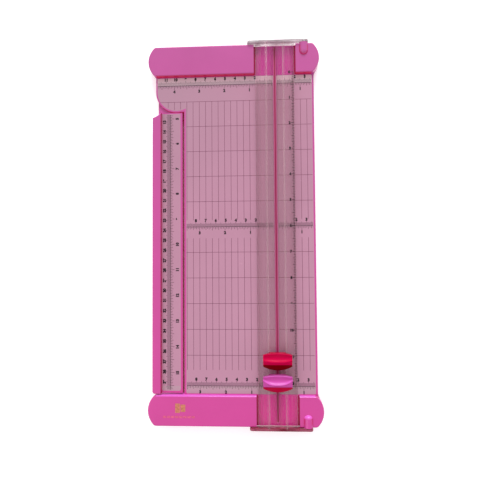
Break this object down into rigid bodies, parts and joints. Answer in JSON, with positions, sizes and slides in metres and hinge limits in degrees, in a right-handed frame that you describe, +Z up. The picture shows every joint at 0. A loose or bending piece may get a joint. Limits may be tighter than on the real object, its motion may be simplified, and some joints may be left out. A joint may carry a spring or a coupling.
{
  "type": "scoring board",
  "caption": "Paper trimmer and scoring board with a hinged clear guide rail, sliding cutting and scoring carriages, printed grid and swing-out ruler arm.",
  "frame": {"origin": "on the table, in the middle of the board, under the feet", "axes": "+Y along the cutting line towards the top fence, +X towards the rail's hinge, +Z up"},
  "size_m": [0.1714, 0.3824, 0.0285],
  "materials": {
    "board_pink": "smooth moulded",
    "plate_print": "satin printed",
    "groove_dark": "matte",
    "foot_rubber": "matte",
    "rail_clear": "clear polished plastic",
    "steel": "plated",
    "spring_steel": "drawn wire",
    "cutter_red": "smooth moulded",
    "scorer_pink": "smooth moulded",
    "holder_white": "satin"
  },
  "bodies": {
    "base": {"base_tray": "board_pink", "grid_plate_left": "plate_print", "grid_plate_right": "plate_print", "cutting_strip": "groove_dark", "base_feet": "foot_rubber", "hinge_pin_top": "steel", "hinge_pin_bottom": "steel", "arm_pivot_washer": "steel", "arm_pivot_screw": "steel"},
    "arm": {"swing_arm": "board_pink", "arm_scale_plate": "plate_print", "arm_foot": "foot_rubber"},
    "rail": {"guide_rail": "rail_clear", "rail_end_cap_top": "rail_clear", "rail_end_cap_bottom": "rail_clear"},
    "scorer": {"scorer_shoe": "scorer_pink", "scorer_springs": "spring_steel"},
    "scorer_button": {"scorer_cap": "scorer_pink", "scorer_tip_holder": "holder_white", "scorer_tip": "holder_white", "scorer_tip_pin": "steel"},
    "cutter": {"cutter_shoe": "cutter_red", "cutter_springs": "spring_steel"},
    "cutter_button": {"cutter_cap": "cutter_red", "cutter_blade_holder": "holder_white", "cutter_blade": "steel", "cutter_blade_pin": "steel"}
  },
  "joints": [
    {"name": "arm_swing", "type": "hinge", "parent": "base", "child": "arm", "pos_m": [-0.0579, 0.1439, 0], "axis": [0, 0, -1], "range_deg": [0, 90]},
    {"name": "rail_lift", "type": "hinge", "parent": "base", "child": "rail", "pos_m": [0.0704, 0, 0.014], "axis": [0, 1, 0], "range_deg": [0, 100]},
    {"name": "scorer_slide", "type": "slide", "parent": "rail", "child": "scorer", "axis": [0, 1, 0], "range_m": [-0.035, 0.27]},
    {"name": "cutter_slide", "type": "slide", "parent": "scorer", "child": "cutter", "axis": [0, 1, 0], "range_m": [0, 0.03]},
    {"name": "scorer_press", "type": "slide", "parent": "scorer", "child": "scorer_button", "axis": [0, 0, -1], "range_m": [0, 0.002], "stiffness_N_per_m": 500, "springref_m": -0.003, "deforming": ["scorer_springs"]},
    {"name": "cutter_press", "type": "slide", "parent": "cutter", "child": "cutter_button", "axis": [0, 0, -1], "range_m": [0, 0.002], "stiffness_N_per_m": 500, "springref_m": -0.003, "deforming": ["cutter_springs"]}
  ]
}
